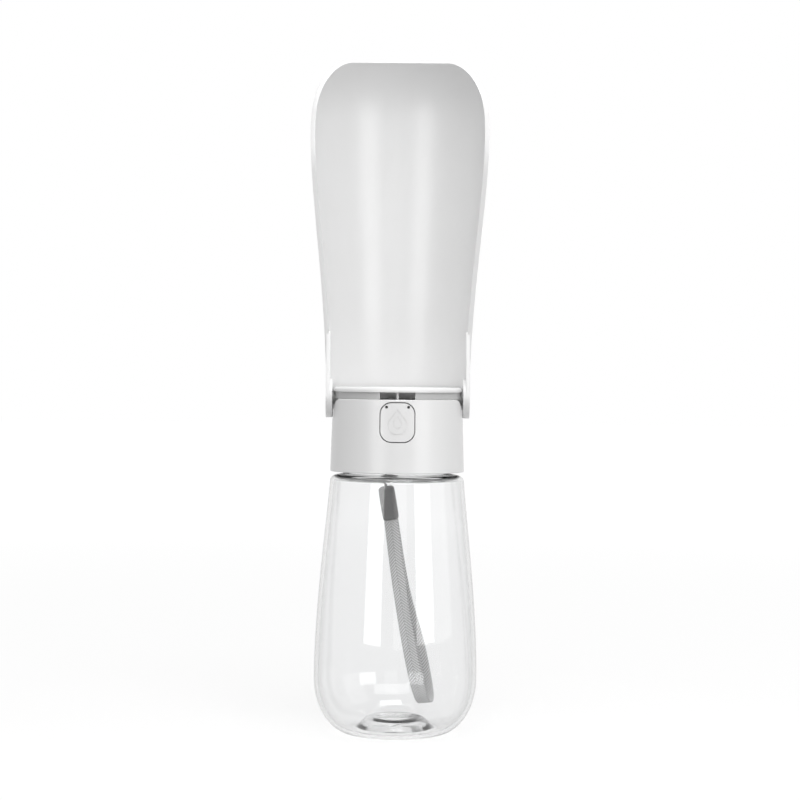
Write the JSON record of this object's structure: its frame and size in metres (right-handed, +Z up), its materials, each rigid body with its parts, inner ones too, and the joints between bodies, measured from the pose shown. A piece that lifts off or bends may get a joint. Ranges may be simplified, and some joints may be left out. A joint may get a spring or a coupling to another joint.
{
  "type": "dog travel water bottle",
  "caption": "Clear bottle with a screw-on dispensing head, push-button valve, long hinged drinking trough and wrist lanyard, stored with the trough standing open.",
  "frame": {"origin": "on the table, under the middle of the bottle's foot ring", "axes": "+Z up along the bottle's axis; the button and the opened trough's hollow face -Y"},
  "size_m": [0.0822, 0.0898, 0.3154],
  "materials": {
    "clear_body": "clear, glossy",
    "white_plastic": "moulded white plastic with a soft sheen",
    "grey_plastic": "moulded grey plastic",
    "inner_plastic": "plain moulded plastic",
    "black_plastic": "glossy",
    "dark_plastic": "moulded, satin",
    "silicone": "soft, translucent white",
    "black_rubber": "matt",
    "steel": "stainless",
    "grey_webbing": "woven",
    "grey_cord": "braided"
  },
  "bodies": {
    "bottle": {"bottle": "clear_body"},
    "neck_seal": {"neck_gasket": "silicone"},
    "head": {"screw_core": "white_plastic", "collar_shell": "white_plastic", "outlet_ring": "grey_plastic", "top_plate": "white_plastic", "ring_screws": "steel", "valve_housing": "inner_plastic", "valve_cap": "inner_plastic", "valve_cap_o_ring": "black_rubber", "inlet_seal": "silicone", "outlet_seal": "silicone", "hinge_pin_left": "steel", "hinge_pin_right": "steel", "hinge_washer_left": "inner_plastic", "hinge_washer_right": "inner_plastic", "lanyard_bar": "steel"},
    "button": {"button_cap": "white_plastic", "button_dots": "black_plastic", "plunger": "inner_plastic", "plunger_o_ring": "black_rubber", "valve_plug": "silicone", "plug_retainer": "inner_plastic", "return_spring": "steel"},
    "trough": {"trough": "white_plastic"},
    "lanyard": {"lanyard_string": "grey_cord", "lanyard_clamp": "dark_plastic", "lanyard_strap": "grey_webbing"}
  },
  "joints": [
    {"name": "head_lift", "type": "slide", "parent": "bottle", "child": "neck_seal", "axis": [0, 0, 1], "range_m": [0, 0.00526]},
    {"name": "head_turn", "type": "hinge", "parent": "neck_seal", "child": "head", "pos_m": [0, 0, 0], "axis": [0, 0, 1], "range_deg": [0, 540]},
    {"name": "button_press", "type": "slide", "parent": "head", "child": "button", "axis": [0, 1, 0], "range_m": [0, 0.0018], "stiffness_N_per_m": 300, "springref_m": -0.003, "deforming": ["return_spring"]},
    {"name": "trough_fold", "type": "hinge", "parent": "head", "child": "trough", "pos_m": [0, 0, 0.1564], "axis": [1, 0, 0], "range_deg": [0, 172]},
    {"name": "lanyard_swing", "type": "hinge", "parent": "head", "child": "lanyard", "pos_m": [-0.008, 0.0346, 0.127], "axis": [1, 0, 0], "range_deg": [0, 150]}
  ],
  "couplings": [
    {"joint": "head_lift", "follows": "head_turn", "m_per_rad": 0.00055704}
  ]
}
